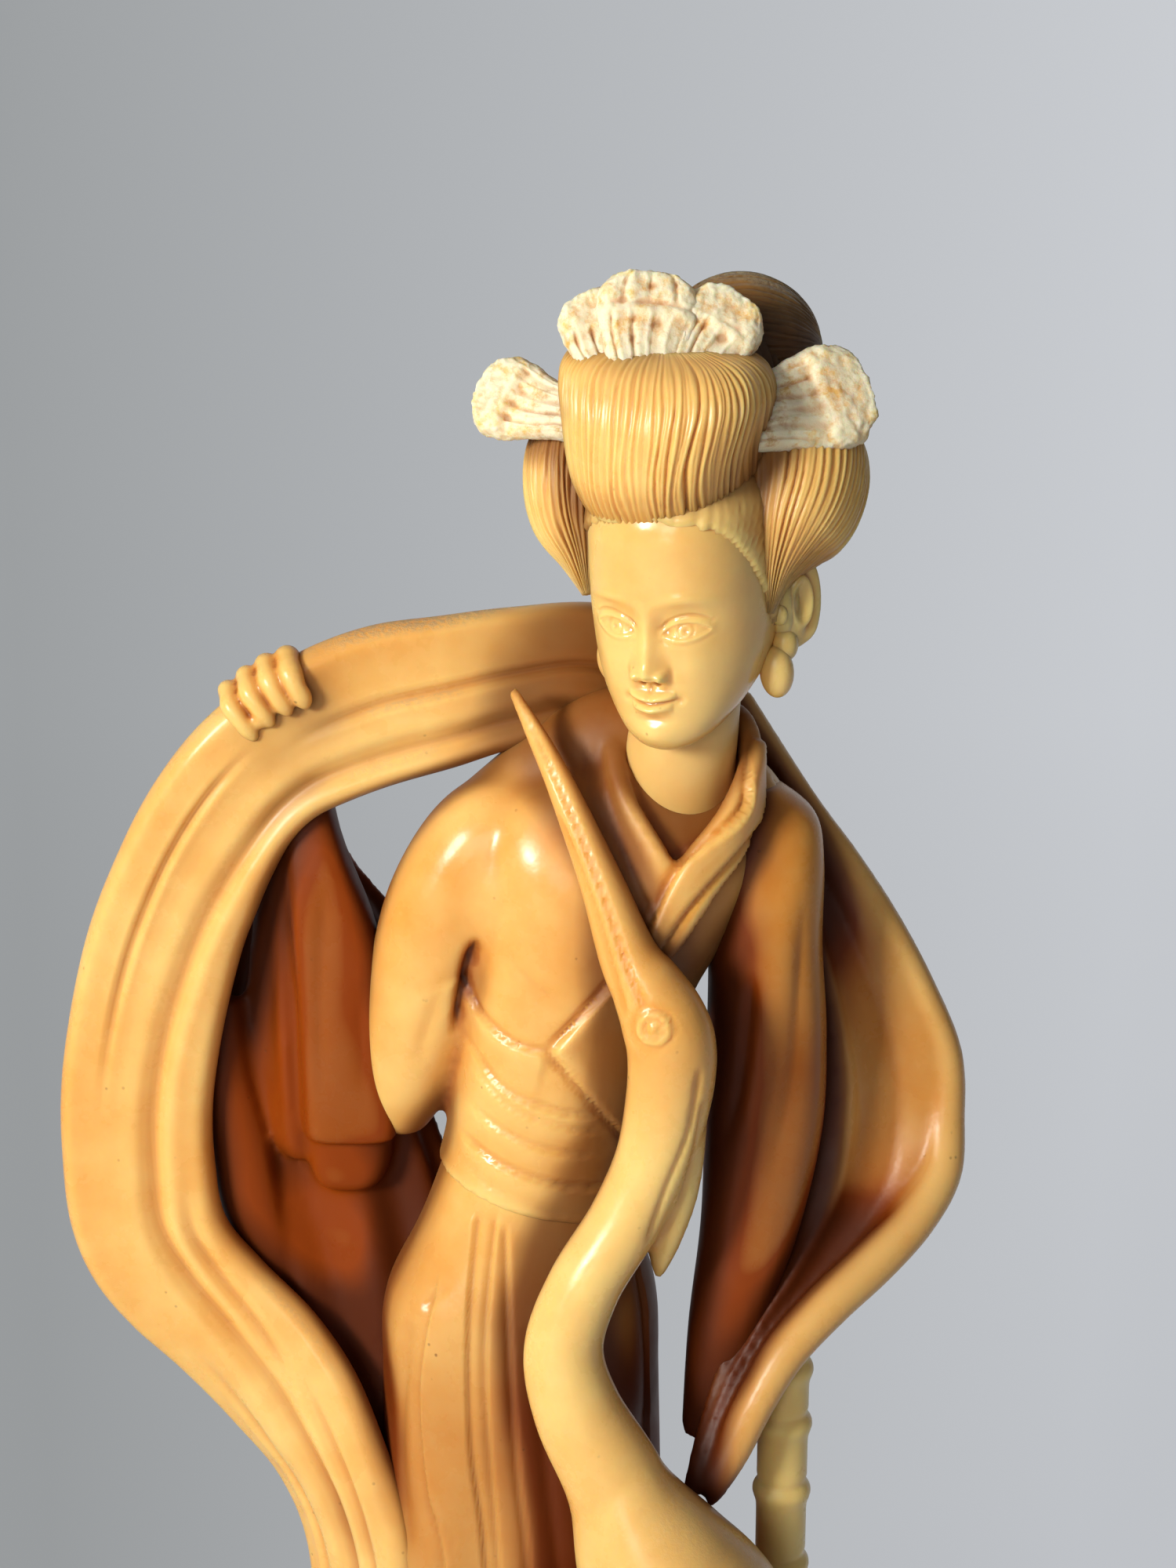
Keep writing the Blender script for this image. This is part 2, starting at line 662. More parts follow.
def buildSleeves():
    arm = cast("raised_sleeve", [
        bar(
            [
                (-24, 6, 152, 6, 6), (-28, 7, 160, 6.4, 6.2), (-31, 7, 170, 6, 6),
                (-33, 6, 186, 4.6, 4.8), (-34, 4, 200, 4, 4), (-35, 1, 207, 4, 4),
            ],
            around=48,
        ),
        stack(
            [
                (199, -33.4, 4.5, 4.4, 4.4), (190, -32.8, 5, 5.2, 5), (181, -32.2, 6.2, 6.4, 5),
                (172, -32, 6.8, 7.6, 5), (162, -32, 7, 8.4, 5), (152, -32, 7, 8.6, 5),
                (146, -32, 7, 8, 4.6), (143, -32, 7, 6, 3.2),
            ],
            ripple=sleeveFolds, around=180,
        ),
        stack(
            [
                (194, -31.6, 3.6, 3, 3), (186, -30.2, 2.8, 4, 3.8), (177, -28.2, 2, 5.4, 4),
                (167, -27, 1.6, 6, 4), (157, -26.6, 1.6, 6.2, 4), (150, -26.4, 1.6, 6.2, 3.8),
                (147.6, -26.4, 1.6, 5.9, 3.4), (147, -26.4, 1.8, 4.8, 2.4),
            ],
            around=140, power=3.4,
        ),
        stack(
            [
                (160, -26.6, 4.6, 5.6, 3.6), (149, -26.8, 4.2, 5.8, 3.6), (143, -27, 4, 5.4, 3.2),
                (140, -27.2, 4, 4.2, 2.6), (139, -27.2, 4, 2.4, 1.6),
            ],
            around=120, power=2.8,
        ),
        stack(
            [
                (192, -34, 8, 4.4, 3.6), (184, -33, 9, 6, 4), (174, -31.4, 10, 11, 4.4),
                (160, -32, 10, 14, 4.6), (150, -32.4, 9.6, 15, 4.6), (138, -30, 9, 16, 4.8),
                (126, -27, 7, 14, 5), (116, -25, 5.4, 11, 5), (104, -24, 3, 7, 5), (92, -23, 1, 5, 4),
            ],
            around=160, ripple=panelFolds,
        ),
        bar(
            [
                (-43.5, 4, 166, 2.4, 2), (-43.5, 4, 156, 3.4, 2.4), (-42, 4, 146, 4, 2.6),
                (-40.4, 4, 136, 4, 2.6), (-37.6, 4, 128, 3, 2.2), (-35, 4, 124, 1, 1),
            ],
            around=40,
        ),
    ], gown["sleeveVoxel"], gown["sleeveRounds"])
    engrave(arm, raisedLines)
    hanging = cast("lowered_sleeve", [
        stack(
            [
                (196, 24.5, 1.5, 5, 5), (192, 26.6, 1.2, 7.6, 7.4), (186, 27.6, 1, 7.8, 8.6),
                (175, 28, 0.6, 7.4, 8.8), (163, 28.4, 0.2, 7.8, 8.2), (150, 28.2, 0, 7.8, 7.4),
                (136, 26.6, -1, 6.6, 6.4), (122, 23.4, -3, 5, 5.2), (108, 21, -5, 3.4, 3.6),
            ]
        ),
    ], gown["sleeveVoxel"])
    engrave(hanging, sleeveLines)
    return arm, hanging


# shawl
shawl = {
    "thickness": 5.6,
    "leafThickness": 4.4,
    "leafVoxel": 0.56,
    "rimHeight": 0.7,
    "foldDepth": 1.15,
    "creaseDepth": 0.16,
}

shawlLeftRows = [
    (25, 13.5, 208, 22, 10, 194), (16, 13, 214.5, 12, 8, 197), (6, 9.5, 217.8, 3, 4, 201),
    (-5, 5.5, 217.9, -5, 2, 200), (-13.9, 3, 217.2, -12, 0.8, 198),
    (-21.6, 1.5, 216.4, -20, 0.3, 195.8), (-28, 0, 214.6, -26, 0, 193.6),
    (-33.5, -1, 212, -30, 0, 191.6), (-39.6, -2, 208, -33, 0, 188.6), (-45.4, -2, 202.6, -35.6, 0, 184),
    (-50.9, -1, 195.2, -37.8, 0, 179), (-55.5, 0, 186.7, -39.8, 0, 174),
    (-59.7, 1, 176.9, -41.8, 0, 167), (-62.8, 2, 165.8, -43.4, 0, 160),
    (-64.7, 2, 154.8, -44.6, 0, 152), (-65.1, 2, 145, -44.6, 0, 144), (-64.5, 2, 135, -43.4, 0, 136),
    (-61.8, 2, 126.8, -38.5, 0, 129.4), (-57, 3, 119.6, -31.5, -2, 122.6),
    (-51, 4, 113.4, -26, -5, 115), (-44, 5, 105.5, -22, -8, 105), (-38, 6, 97.5, -19.6, -10, 97),
    (-34, 6, 88, -18.2, -11, 88), (-32.8, 6, 76, -17.4, -12, 76), (-33.4, 6, 55, -18, -13.5, 55),
    (-36, 5, 30, -20, -16, 30), (-38, 4, 6, -22, -18, 6),
]
shawlRightRows = [
    (17, 13, 213, 15, 9, 196), (24, 13, 207, 21, 9, 191), (29, 12.5, 200, 25, 8, 186),
    (34.5, 12, 191, 27.5, 7, 180), (40.5, 12, 182.5, 29, 6, 173), (46, 11, 174, 29.6, 5, 166),
    (51, 10, 164.6, 29.4, 4, 159), (54.5, 9, 156.2, 29, 3, 152), (55.4, 8, 147.9, 28.2, 2, 145),
    (54, 5.4, 141.2, 27.2, 1, 138.6), (50, 2, 135.4, 26, 0, 132.6), (43.6, -2, 130.4, 24.4, -3, 126.6),
    (36.4, -6, 126.6, 22.8, -6, 120), (30.4, -9, 121.6, 21, -8.4, 113.6),
    (26.2, -11.4, 115.6, 19.4, -10.8, 108.6), (23.4, -13, 109.4, 18, -12.8, 105),
    (21.2, -14.4, 104.6, 17.2, -14.4, 102.4),
]
shawlLip = [  # centre and half-sizes of the thick rounded hem
    (25, 12.6, 205, 1.6, 1.4), (33.6, 11.6, 191, 2.0, 1.8), (39.6, 11.4, 182.5, 2.2, 2.0),
    (45, 10.4, 174, 2.4, 2.2), (49.8, 9.4, 164.6, 2.6, 2.4), (53, 8.4, 156.2, 2.7, 2.6),
    (53.2, 6.8, 147.9, 2.8, 2.8), (52.4, 4, 141.2, 3.0, 3.0), (48.6, 0.4, 136, 3.2, 3.0),
    (43, -3.4, 131.6, 3.3, 3.1), (36.6, -7, 127.2, 3.3, 3.1), (31, -9.8, 122, 3.1, 2.9),
    (27, -12, 115.8, 2.8, 2.6), (24, -13.6, 109.4, 2.2, 2.2), (21.8, -14.8, 104.6, 1.3, 1.3),
    (20.8, -15.2, 102.4, 0.5, 0.5),
]


def fold(part, centre, wide, strength=1.0):  # a soft valley with a narrow crease at its floor
    soft = (
        shawl["foldDepth"] * hump(part, centre, wide) + shawl["creaseDepth"] * hump(part, centre, 0.022)
    )
    lip = 0.3 * hump(part, centre - 1.5 * wide, wide) + 0.35 * hump(part, centre + 1.4 * wide, wide)
    return strength * (lip - soft)


def shawlFront(part, place):
    rims = shawl["rimHeight"] * (hump(part, 0.06, 0.09) + 0.45 * hump(part, 0.95, 0.06))
    longFold = fold(
        part,
        np.interp(place, (0, 0.2, 0.35, 0.5, 0.6, 0.7, 1), (0.80, 0.79, 0.75, 0.66, 0.62, 0.56, 0.5)),
        0.08,
    )
    topFold = fold(part, 0.47, 0.04) * ease(place, 0.30, 0.16) * 0.7
    sideFold = (
        fold(part, 0.32 - 0.1 * (place - 0.4), 0.03) * ease(place, 0.30, 0.36) * ease(place, 0.56, 0.46)
        * 0.6
    )
    elbowFold = (
        fold(part, 0.80 - 1.2 * (place - 0.62), 0.06) * ease(place, 0.58, 0.64)
        * ease(place, 0.76, 0.70) * 0.8
    )
    lowFolds = (0.8 * fold(part, 0.27, 0.04) + fold(part, 0.76, 0.05)) * ease(place, 0.70, 0.78) * 0.7
    broad = 0.25 * np.sin(11 * part + 5 * place) * np.sin(9 * place + 1.0)
    return rims + longFold + topFold + sideFold + elbowFold + lowFolds + broad


def shawlBack(part, place):
    return -0.9 * hump(part, 0.35, 0.1) + 0.5 * hump(part, 0.6, 0.12) - 0.7 * hump(part, 0.8, 0.06)


def leafFront(part, place):
    low = ease(place, 0.5, 0.8)
    hollow = -1.9 * hump(part, 0.42, 0.17) * (1 - 0.3 * low) - 1.0 * hump(part, 0.76, 0.07)
    lines = (
        -0.35 * hump(part, 0.33, 0.03) + 0.8 * hump(part, 0.60, 0.05) - 0.35 * hump(part, 0.76, 0.03)
    )
    return (
        0.5 * hump(part, 0.1, 0.1) + (hollow + lines * ease(place, 0.9, 0.7)) * ease(place, 1.0, 0.86)
    )


def leafBack(part, place):
    return 1.4 * hump(part, 0.35, 0.2) - 0.8 * hump(part, 0.12, 0.06)


def buildShawl():
    left = newPiece(
        "shawl_left", [sheet(shawlLeftRows, shawl["thickness"], shawlFront, shawlBack, 250, 64)],
    )
    right = cast("shawl_right", [
        sheet(shawlRightRows, shawl["leafThickness"], leafFront, leafBack, 260, 80, taper=0.9),
        bar(shawlLip, side=(0, 1, 0), count=220, around=48),
    ], shawl["leafVoxel"], 4)
    return left, right


# raised hand
hand = {
    "voxel": 0.28,
    "fingerRadius": 1.55,
    "knuckles": ((-31.8, 210.4), (-34.4, 209.5), (-36.9, 208.0), (-39.3, 206.2)),  # x, z
}


def buildHand():
    radius = hand["fingerRadius"]
    parts = [
        ball((-35, 2, 205), (6.4, 4, 6.2)),
        bar(
            [
                (-28, 3, 203, 2, 2), (-28, 2, 208, 1.8, 1.8), (-29, 0, 211.4, 1.5, 1.5),
                (-29.6, -1, 212.4, 0.6, 0.6),
            ]
        ),
        ball((-36.2, -4.2, 205.2), (1.5, 1.2, 1.1)),
    ]
    for number, (x, z) in enumerate(hand["knuckles"]):
        swell = radius * (1.0 - 0.05 * number)
        lean = 0.5 * number
        parts.append(bar([
            (x - 1.3, 2, z + 0.6, swell, swell), (x - 0.9, -1.2, z + 2.3, swell * 1.06, swell),
            (x - 0.6, -2.8, z + 1.9, swell * 0.94, swell * 0.9),
            (x - 0.2, -4.0, z + 0.7, swell * 1.05, swell),
            (x + 0.5 + 0.3 * lean, -4.6, z - 0.9, swell * 0.88, swell * 0.84),
            (x + 1.2 + 0.5 * lean, -4.5, z - 2.2, swell * 0.86, swell * 0.78),
            (x + 1.7 + 0.6 * lean, -4.2, z - 3.2, swell * 0.55, swell * 0.5),
            (x + 1.9 + 0.6 * lean, -4.0, z - 3.5, 0.3, 0.3),
        ], around=24))
    return cast("hand", parts, hand["voxel"], 4)


# head
head = {
    "yaw": math.radians(25),
    "pitch": math.radians(10),
    "centre": Vector((17.0, -8.0, 220.3)),
    "eyeApart": 4.5,
    "eyeRise": 0.8,
    "eyeHalfWidth": 2.7,
    "eyeOpenUp": 1.15,
    "eyeOpenDown": 0.72,
    "browRise": 4.6,
    "noseRise": -4.2,
    "noseHeight": 2.35,
    "mouthRise": -7.9,
    "mouthHalfWidth": 3.1,
    "chinRise": -12.4,
    "lipFullness": 1.0,
    "hairStands": 0.5,
}
turned, bowed = head["yaw"], head["pitch"]
headFront = Vector(
    (-math.sin(turned) * math.cos(bowed), -math.cos(turned) * math.cos(bowed), -math.sin(bowed))
)
headRight = Vector((math.cos(turned), -math.sin(turned), 0))
headUp = headFront.cross(headRight)
headAxes = (headRight, headFront, headUp)


def onHead(right, front, up):
    return head["centre"] + headRight * right + headFront * front + headUp * up


def headGrid(u, front, v):  # the same for whole grids of points
    right, ahead, up = (np.asarray(axis) for axis in headAxes)
    return (
        np.asarray(head["centre"]) + u[..., None] * right + front[..., None] * ahead + v[..., None] * up
    )


def headBall(place, radii, **more):
    return ball(onHead(*place), radii, headAxes, **more)


def spot(u, v, centre, size):
    return np.exp(-(((u - centre[0]) / size[0]) ** 2) - ((v - centre[1]) / size[1]) ** 2)


def eyeRelief(u, v):  # an almond opening between two lids, over a round eyeball with an iris
    half = head["eyeHalfWidth"]
    s = (np.abs(u) - head["eyeApart"]) / half
    arch = np.clip(1 - s**2, 0, 1)
    middle = head["eyeRise"] + 0.22 * s
    upper = middle + head["eyeOpenUp"] * arch**0.8
    lower = middle - head["eyeOpenDown"] * arch
    span = ease(1.3 - np.abs(s), 0, 0.4)
    globe = 1.05 * np.exp(-((s * half / 2.8) ** 2) - ((v - middle) / 1.9) ** 2)
    upperLid = 0.36 * ease(v - upper, -0.06, 0.12) * np.exp(-np.clip(v - upper, 0, 9) / 1.0)
    crease = -0.26 * hump(v, upper + 1.0 + 0.1 * s, 0.2)
    lowerLid = 0.26 * ease(lower - v, -0.06, 0.12) * np.exp(-np.clip(lower - v, 0, 9) / 0.7)
    underCrease = -0.1 * hump(v, lower - 0.8, 0.3)
    inside = ease(upper - v, 0, 0.15) * ease(v - lower, 0, 0.15) * ease(1 - np.abs(s), 0, 0.1)
    r = np.hypot(np.abs(u) - head["eyeApart"], v - middle - 0.15)
    iris = -0.11 * hump(r, 0.92, 0.13) - 0.2 * hump(r, 0, 0.32)
    return globe + span * (upperLid + crease + lowerLid + underCrease) + inside * iris


def noseRelief(u, v):
    tip = head["noseRise"]
    height = (
        np.interp(
            v, tip + np.array([-1.9, -1.3, -0.7, 0, 1.0, 2.8, 4.8, 6.8, 9.0]),
            np.array([0, 0.14, 0.68, 0.98, 1.0, 0.78, 0.5, 0.27, 0.04]),
        )
        * head["noseHeight"]
    )
    width = np.interp(v, tip + np.array([-1.5, 0, 2.0, 5.0, 9.0]), (1.5, 1.6, 1.35, 1.2, 1.5))
    wings = 1.15 * spot(np.abs(u), v, (1.8, tip - 0.35), (0.7, 0.85))
    crease = -0.35 * spot(np.abs(u), v, (2.65, tip - 0.2), (0.4, 0.9))
    nostril = -0.9 * spot(np.abs(u), v, (0.92, tip - 1.3), (0.42, 0.32))
    bridge = 0.64 * np.exp(-np.abs(u / width) ** 1.9) + 0.36 * np.exp(-((u / width / 1.9) ** 2))
    tipBall = 0.3 * spot(u, v, (0, tip + 0.15), (1.2, 1.0))
    return height * bridge + tipBall + wings + crease + nostril


def mouthRelief(u, v):
    s = np.clip(u / head["mouthHalfWidth"], -1.4, 1.4)
    full = head["lipFullness"]
    inner = np.clip(1 - s**2, 0, 1)
    line = head["mouthRise"] + 0.34 * s**2 - 0.1 * hump(s, 0, 0.2)
    top = (
        full * 0.85 * inner**0.7 * hump(v, line + 0.52 + 0.12 * np.abs(s) * inner, 0.5)
        * (1 - 0.25 * hump(s, 0, 0.14))
    )
    low = full * 1.05 * np.clip(1 - (s / 0.86) ** 2, 0, 1) ** 0.8 * hump(v, line - 0.78, 0.62)
    seam = -0.42 * hump(v, line, 0.17) * ease(1.1 - np.abs(s), 0, 0.3)
    corners = (
        -0.35 * spot(np.abs(u), v, (head["mouthHalfWidth"] + 0.25, head["mouthRise"] + 0.3), (0.6, 0.6))
    )
    muzzle = 0.55 * spot(u, v, (0, head["mouthRise"]), (3.4, 2.6))
    groove = -0.18 * hump(u, 0, 0.34) * hump(v, head["mouthRise"] + 1.9, 0.7)
    return top + low + seam + corners + muzzle + groove


def faceRelief(u, v):
    aside = np.abs(u)
    sockets = (
        -1.1 * spot(aside, v, (head["eyeApart"], head["eyeRise"] + 0.7), (2.7, 1.9))
        - 0.7 * spot(aside, v, (2.0, head["eyeRise"] + 0.5), (1.1, 1.5))
    )
    brow = (
        0.42 * hump(v, head["browRise"] + 0.35 - 0.05 * (aside - 4.6) ** 2, 0.9)
        * spot(aside, v, (4.8, v), (3.4, 1))
    )
    cheeks = 0.75 * spot(aside, v, (5.4, -3.6), (2.8, 3.2))
    chin = (
        0.75 * spot(u, v, (0, head["chinRise"]), (2.6, 1.7))
        - 0.32 * spot(u, v, (0, head["mouthRise"] - 2.2), (2.2, 0.7))
    )
    return sockets + brow + cheeks + chin + eyeRelief(u, v) + noseRelief(u, v) + mouthRelief(u, v)


headRows = [  # up, centre front, half-width, half-depth
    (-15.2, 7.6, 0.6, 0.6), (-14.9, 7.2, 2.2, 2.6), (-14.2, 6.5, 4.0, 4.3), (-13.0, 5.3, 5.7, 6.1),
    (-11.4, 4.0, 7.1, 7.7), (-9.6, 2.9, 8.3, 8.8), (-7.8, 1.8, 9.3, 9.9), (-6, 0.9, 10.0, 10.7),
    (-4, 0.2, 10.6, 11.2), (-2, -0.2, 10.9, 11.7), (0, -0.5, 11.1, 12.1), (2, -0.8, 11.2, 12.7),
    (4, -1.1, 11.2, 13.3), (6, -1.4, 11.2, 13.8), (9, -1.8, 11.2, 14.1), (12, -2.0, 11.1, 14.0),
    (15, -2.3, 10.6, 13.2), (18, -2.6, 8.4, 10.4), (20.4, -2.8, 3, 3.6), (20.8, -2.8, 0.6, 0.6),
]


# rings of the head with a relief added, finer towards the face
def headShell(reliefOf, rows=215, columns=285):
    rows = smoothRows(headRows, rows)
    share = np.linspace(-0.5, 0.5, columns, endpoint=False) * 2 * math.pi
    turn = share - 0.6 * np.sin(share)
    u = rows[:, 2, None] * rounded(np.sin(turn), 2.25)
    front = rows[:, 1, None] + rows[:, 3, None] * rounded(np.cos(turn), 2.25)
    v = np.repeat(rows[:, :1], len(turn), axis=1)
    u, front = reliefOf(u, front, v, turn)
    return skin(headGrid(u, front, v))


def faceSkin(u, front, v, turn):
    return u, front + faceRelief(u, v) * ease(np.cos(turn), 0.05, 0.6)


# stands off the head behind the hairline and sinks into it before the line
def templeHair(u, front, v, turn):
    line = np.interp(
        v, (-9, -6, -1, 2, 5, 8, 10.5, 12.4, 13.6, 14.6, 15.6),
        (-9, -6, 0.4, 1.8, 3.2, 5.0, 6.8, 8.6, 10.6, 13, 20),
    )
    way = v * 0.55 + front * 1.0
    ridges = 0.28 * (np.abs(np.sin(way * 2.9 + 0.5 * np.sin(front))) ** 0.6 - 0.6)
    rise = (
        (head["hairStands"] + ridges) * ease(line - front, -0.4, 0.6)
        - 0.7 * ease(front - line, -0.4, 0.2)
    )
    return u * (1 + rise / 11), front + rise * np.cos(turn)


def earFolds(turn, lift):  # rolled rim round the back and top, groove, inner ridge and bowl
    out = np.cos(lift) + 0 * turn
    rim = ease(0.6 * np.sin(turn) - np.cos(turn), -0.7, 0.4)
    return (
        rim * (0.8 * hump(out, 0.88, 0.1) - 0.45 * hump(out, 0.66, 0.09))
        + (0.2 + 0.3 * rim) * hump(out, 0.46, 0.1) - 0.9 * hump(out, 0, 0.32)
    )


def earAt(side):
    outward = np.asarray(headRight) * side * 0.88 + np.asarray(headFront) * 0.47
    ahead = np.asarray(headFront) * 0.88 - np.asarray(headRight) * side * 0.47
    return ball(
        onHead(side * 12.4, -4.2, 0.4), (3.0, 6.2, 1.6), (ahead, np.asarray(headUp), outward),
        around=72, rise=60, ripple=earFolds,
    )


def buildHead():
    neck = bar(
        [
            (14.5, 1, 190, 9, 7.4), (16, -1.5, 197, 7.6, 7), (17, -4, 204, 6.8, 6.6),
            (17.6, -5.5, 213, 6.6, 6.6),
        ],
        around=60, count=40,
    )
    parts = [headShell(faceSkin), neck]
    for side in (-1, 1):
        parts += [
            earAt(side),
            headBall((side * 11.4, -3.4, 0.2), (1.8, 2.4, 5.0), around=36),
            headBall((side * 11.6, -2.6, -4.8), (1.6, 1.7, 2.2), around=36),
            headBall((side * 11.5, -1.3, -0.6), (1.1, 0.8, 1.4), around=24),
            headBall((side * 10.9, -1.2, -8.0), (2.1, 2.0, 3.3), around=48),
        ]
    return newPiece("head", parts)


# hair
hair = {
    "rollStrands": 74,
    "rightStrands": 56,
    "leftStrands": 44,
    "bunStrands": 60,
    "backStrands": 64,
    "depth": 0.85,
}


# rounded ridges with narrow gaps, uneven like combed hair
def strands(count, seed, twist=0.0, depth=1.0):
    def ripple(turn, place):
        drift = 0.07 * np.sin(3 * turn + seed) + 0.04 * np.sin(7 * turn + 2 * seed) + twist * place
        wave = 0.012 * np.sin(6 * place + 9 * turn) + 0.008 * np.sin(15 * place + 23 * turn)
        way = turn + drift + wave
        coarse = np.abs(np.sin(count * way / 2)) ** 0.55
        fine = np.abs(np.sin(count * 1.37 * way / 2 + 2 * np.sin(5 * turn + seed))) ** 0.5
        uneven = 0.7 + 0.35 * np.sin(11 * turn + seed) * np.sin(5 * turn + 4 * place)
        deepGap = -0.55 * ease(np.sin(count * way / 6 + 3 * np.sin(2 * turn)), 0.8, 1.0)
        return (
            hair["depth"] * depth
            * ((0.62 * coarse + 0.38 * fine - 0.75) * uneven + deepGap * (1 - coarse))
        )
    return ripple


# level rings of up, right, front, half-width, half-depth
def headRings(rows, tilt, around, count, ripple):
    rows = smoothRows(rows, count)
    turn = np.linspace(0, 2 * math.pi, around, endpoint=False)
    swell = ripple(turn[None, :], np.linspace(0, 1, count)[:, None])
    u = rows[:, 1, None] + (rows[:, 3, None] + swell) * rounded(np.cos(turn), 2.35)
    front = rows[:, 2, None] + (rows[:, 4, None] + swell) * rounded(np.sin(turn), 2.35)
    v = rows[:, :1] - tilt * u * ease(rows[:, :1], 18, 28)
    return skin(headGrid(u, front, v))


def buildHair():
    roll = headRings(
        [
            (12.8, -1.0, -2.2, 9.2, 13.1), (14.2, -1.1, -1.9, 9.9, 13.5), (16, -1.0, -1.2, 10.4, 14.0),
            (18.4, -0.8, 0.1, 10.9, 13.7), (21.4, -0.5, 1.3, 11.4, 12.8), (25, -0.1, 1.9, 12.0, 11.8),
            (28, 0, 1.7, 12.4, 11), (30.4, -0.2, 1.3, 11.8, 9.8), (31.9, -0.4, 1.0, 9.8, 7.6),
            (32.6, -0.5, 0.8, 6, 4.6),
        ],
        0.11, 540, 60, strands(hair["rollStrands"], 1.0),
    )
    right = bar(
        [
            (26.4, -13.2, 220.2, 0.7, 0.8), (26.2, -11.8, 224.2, 3.5, 4.4),
            (26.9, -9.8, 228.4, 7.2, 8.0), (28.5, -7.4, 232.8, 9.4, 10.0),
            (29.4, -4.8, 237.2, 9.6, 10.2), (29.9, -2.3, 241, 7.5, 8.2), (30.5, -0.8, 243.6, 3.0, 3.6),
        ],
        around=400, count=56, ripple=strands(hair["rightStrands"], 2.0, 0.35),
    )
    left = bar(
        [
            (5.0, -10.4, 222.2, 0.6, 0.7), (4.2, -8.8, 226.2, 2.6, 3.6), (3.1, -7.2, 230.6, 4.8, 6.2),
            (2.7, -5.6, 235.4, 5.5, 7.6), (3.0, -4, 239.8, 4.9, 6.8), (3.8, -3.2, 243.2, 2.6, 3.4),
        ],
        around=320, count=48, ripple=strands(hair["leftStrands"], 3.0, -0.3),
    )
    bun = ball(
        (23.6, 1.5, 250.4), (8.8, 9.4, 10), axes=((0, 1, 0), (0, 0, 1), (1, 0, 0)), around=320, rise=40,
        ripple=strands(hair["bunStrands"], 4.0, depth=0.7),
    )
    crown = ball(
        (19.5, -2, 247.5), (10, 8.4, 9), around=200, rise=30, ripple=strands(46, 5.0, depth=0.8),
    )
    cap = headBall(
        (0, -4.8, 8.5), (13, 13.2, 15), around=250, rise=30,
        ripple=strands(hair["backStrands"], 6.0, depth=0.9),
    )
    nape = headBall(
        (0, -11, -4), (8.6, 5.6, 9), around=140, rise=26, ripple=strands(34, 7.0, depth=0.9),
    )
    locks = {
        "temples": [headShell(templeHair, 80, 150)],
        "roll": [roll],
        "side_right": [right],
        "side_left": [left],
        "bun": [bun, crown],
        "back": [cap, nape],
    }
    return [newPiece("hair_" + name, parts) for name, parts in locks.items()]


# combs in the hair
combs = {
    "ribDepth": 0.42,
    "padHeight": 0.8,
    "places": (  # root, tip, width, thickness, ribs, blocks along the end
        ((2.8, -12.0, 243.6), (-7.4, -6.6, 246.0), 10.4, 3.4, 5, 0),
        ((8.6, -17.6, 246.7), (5.4, -12.4, 257.3), 9.4, 3.4, 4, 0),
        ((11.2, -19.2, 246.9), (12.2, -12.8, 259.5), 12.2, 3.6, 4, 4),
        ((15.4, -18.8, 247.1), (22.2, -11.8, 256.9), 10.2, 3.4, 4, 0),
        ((22.6, -15.8, 243.4), (37.6, -8.4, 246.4), 13.0, 4.0, 6, 0),
    ),
}


def combShape(root, tip, width, thickness, ribs, blocks):  # pleated narrow root, padded wide end
    root, tip = np.asarray(root, float), np.asarray(tip, float)
    length = np.linalg.norm(tip - root)
    along = (tip - root) / length
    outward = np.array((0.1, -0.93, 0.36))
    side = unitRows(np.cross(along, outward))
    outward = np.cross(side, along)
    rows, columns = 66, 62
    place = np.linspace(-0.1, 1.0, rows)[:, None]
    across = (-np.cos(np.linspace(0, math.pi, columns)))[None, :]
    half = (
        width / 2
        * np.interp(
            place, (-0.1, 0.05, 0.35, 0.6, 0.76, 0.86, 0.94, 0.985, 1.0),
            (0.57, 0.6, 0.78, 0.96, 1.0, 0.95, 0.78, 0.5, 0.15),
        )
    )
    reach = place * length + 0.7 * (1 - across**2) * np.clip(place, 0, 1)
    end = ease(place, 0.56, 0.66)
    sway = across + 0.05 * np.sin(9 * place + ribs) + 0.04 * np.sin(17 * across)
    pleats = (
        combs["ribDepth"]
        * (np.abs(np.cos(ribs * math.pi * sway / 2)) ** 0.8 - 0.5 + 0.25 * np.sin(ribs * 7 * sway))
        * (1 - end)
    )
    ledge = 0.18 * hump(place, 0.60, 0.035) - 0.12 * hump(place, 0.67, 0.025)
    pad = (
        combs["padHeight"] * end
        * (0.75 + 0.25 * np.clip(np.hypot(across, (place - 0.82) / 0.18), 0, 1))
    )
    if blocks:
        gaps = (
            hump(np.abs(np.sin(blocks * math.pi * (across + 1) / 2)), 0, 0.22) * ease(place, 0.70, 0.73)
            * ease(place, 0.97, 0.93)
        )
        pad = pad - 0.45 * gaps - 0.4 * hump(place, 0.70, 0.02)
    rim = np.clip(1 - np.abs(across) ** 6, 0, 1) ** 0.5 * np.clip((1.0 - place) / 0.05, 0, 1) ** 0.5
    base = root + along * reach[..., None] + side * (half * across)[..., None]
    up = (thickness / 2 * 0.8 + pleats + ledge + pad) * rim
    down = thickness / 2 * rim
    near = base + outward * up[..., None]
    far = base - outward * down[..., None]
    return skin(np.concatenate([near, far[:, -2:0:-1]], axis=1))


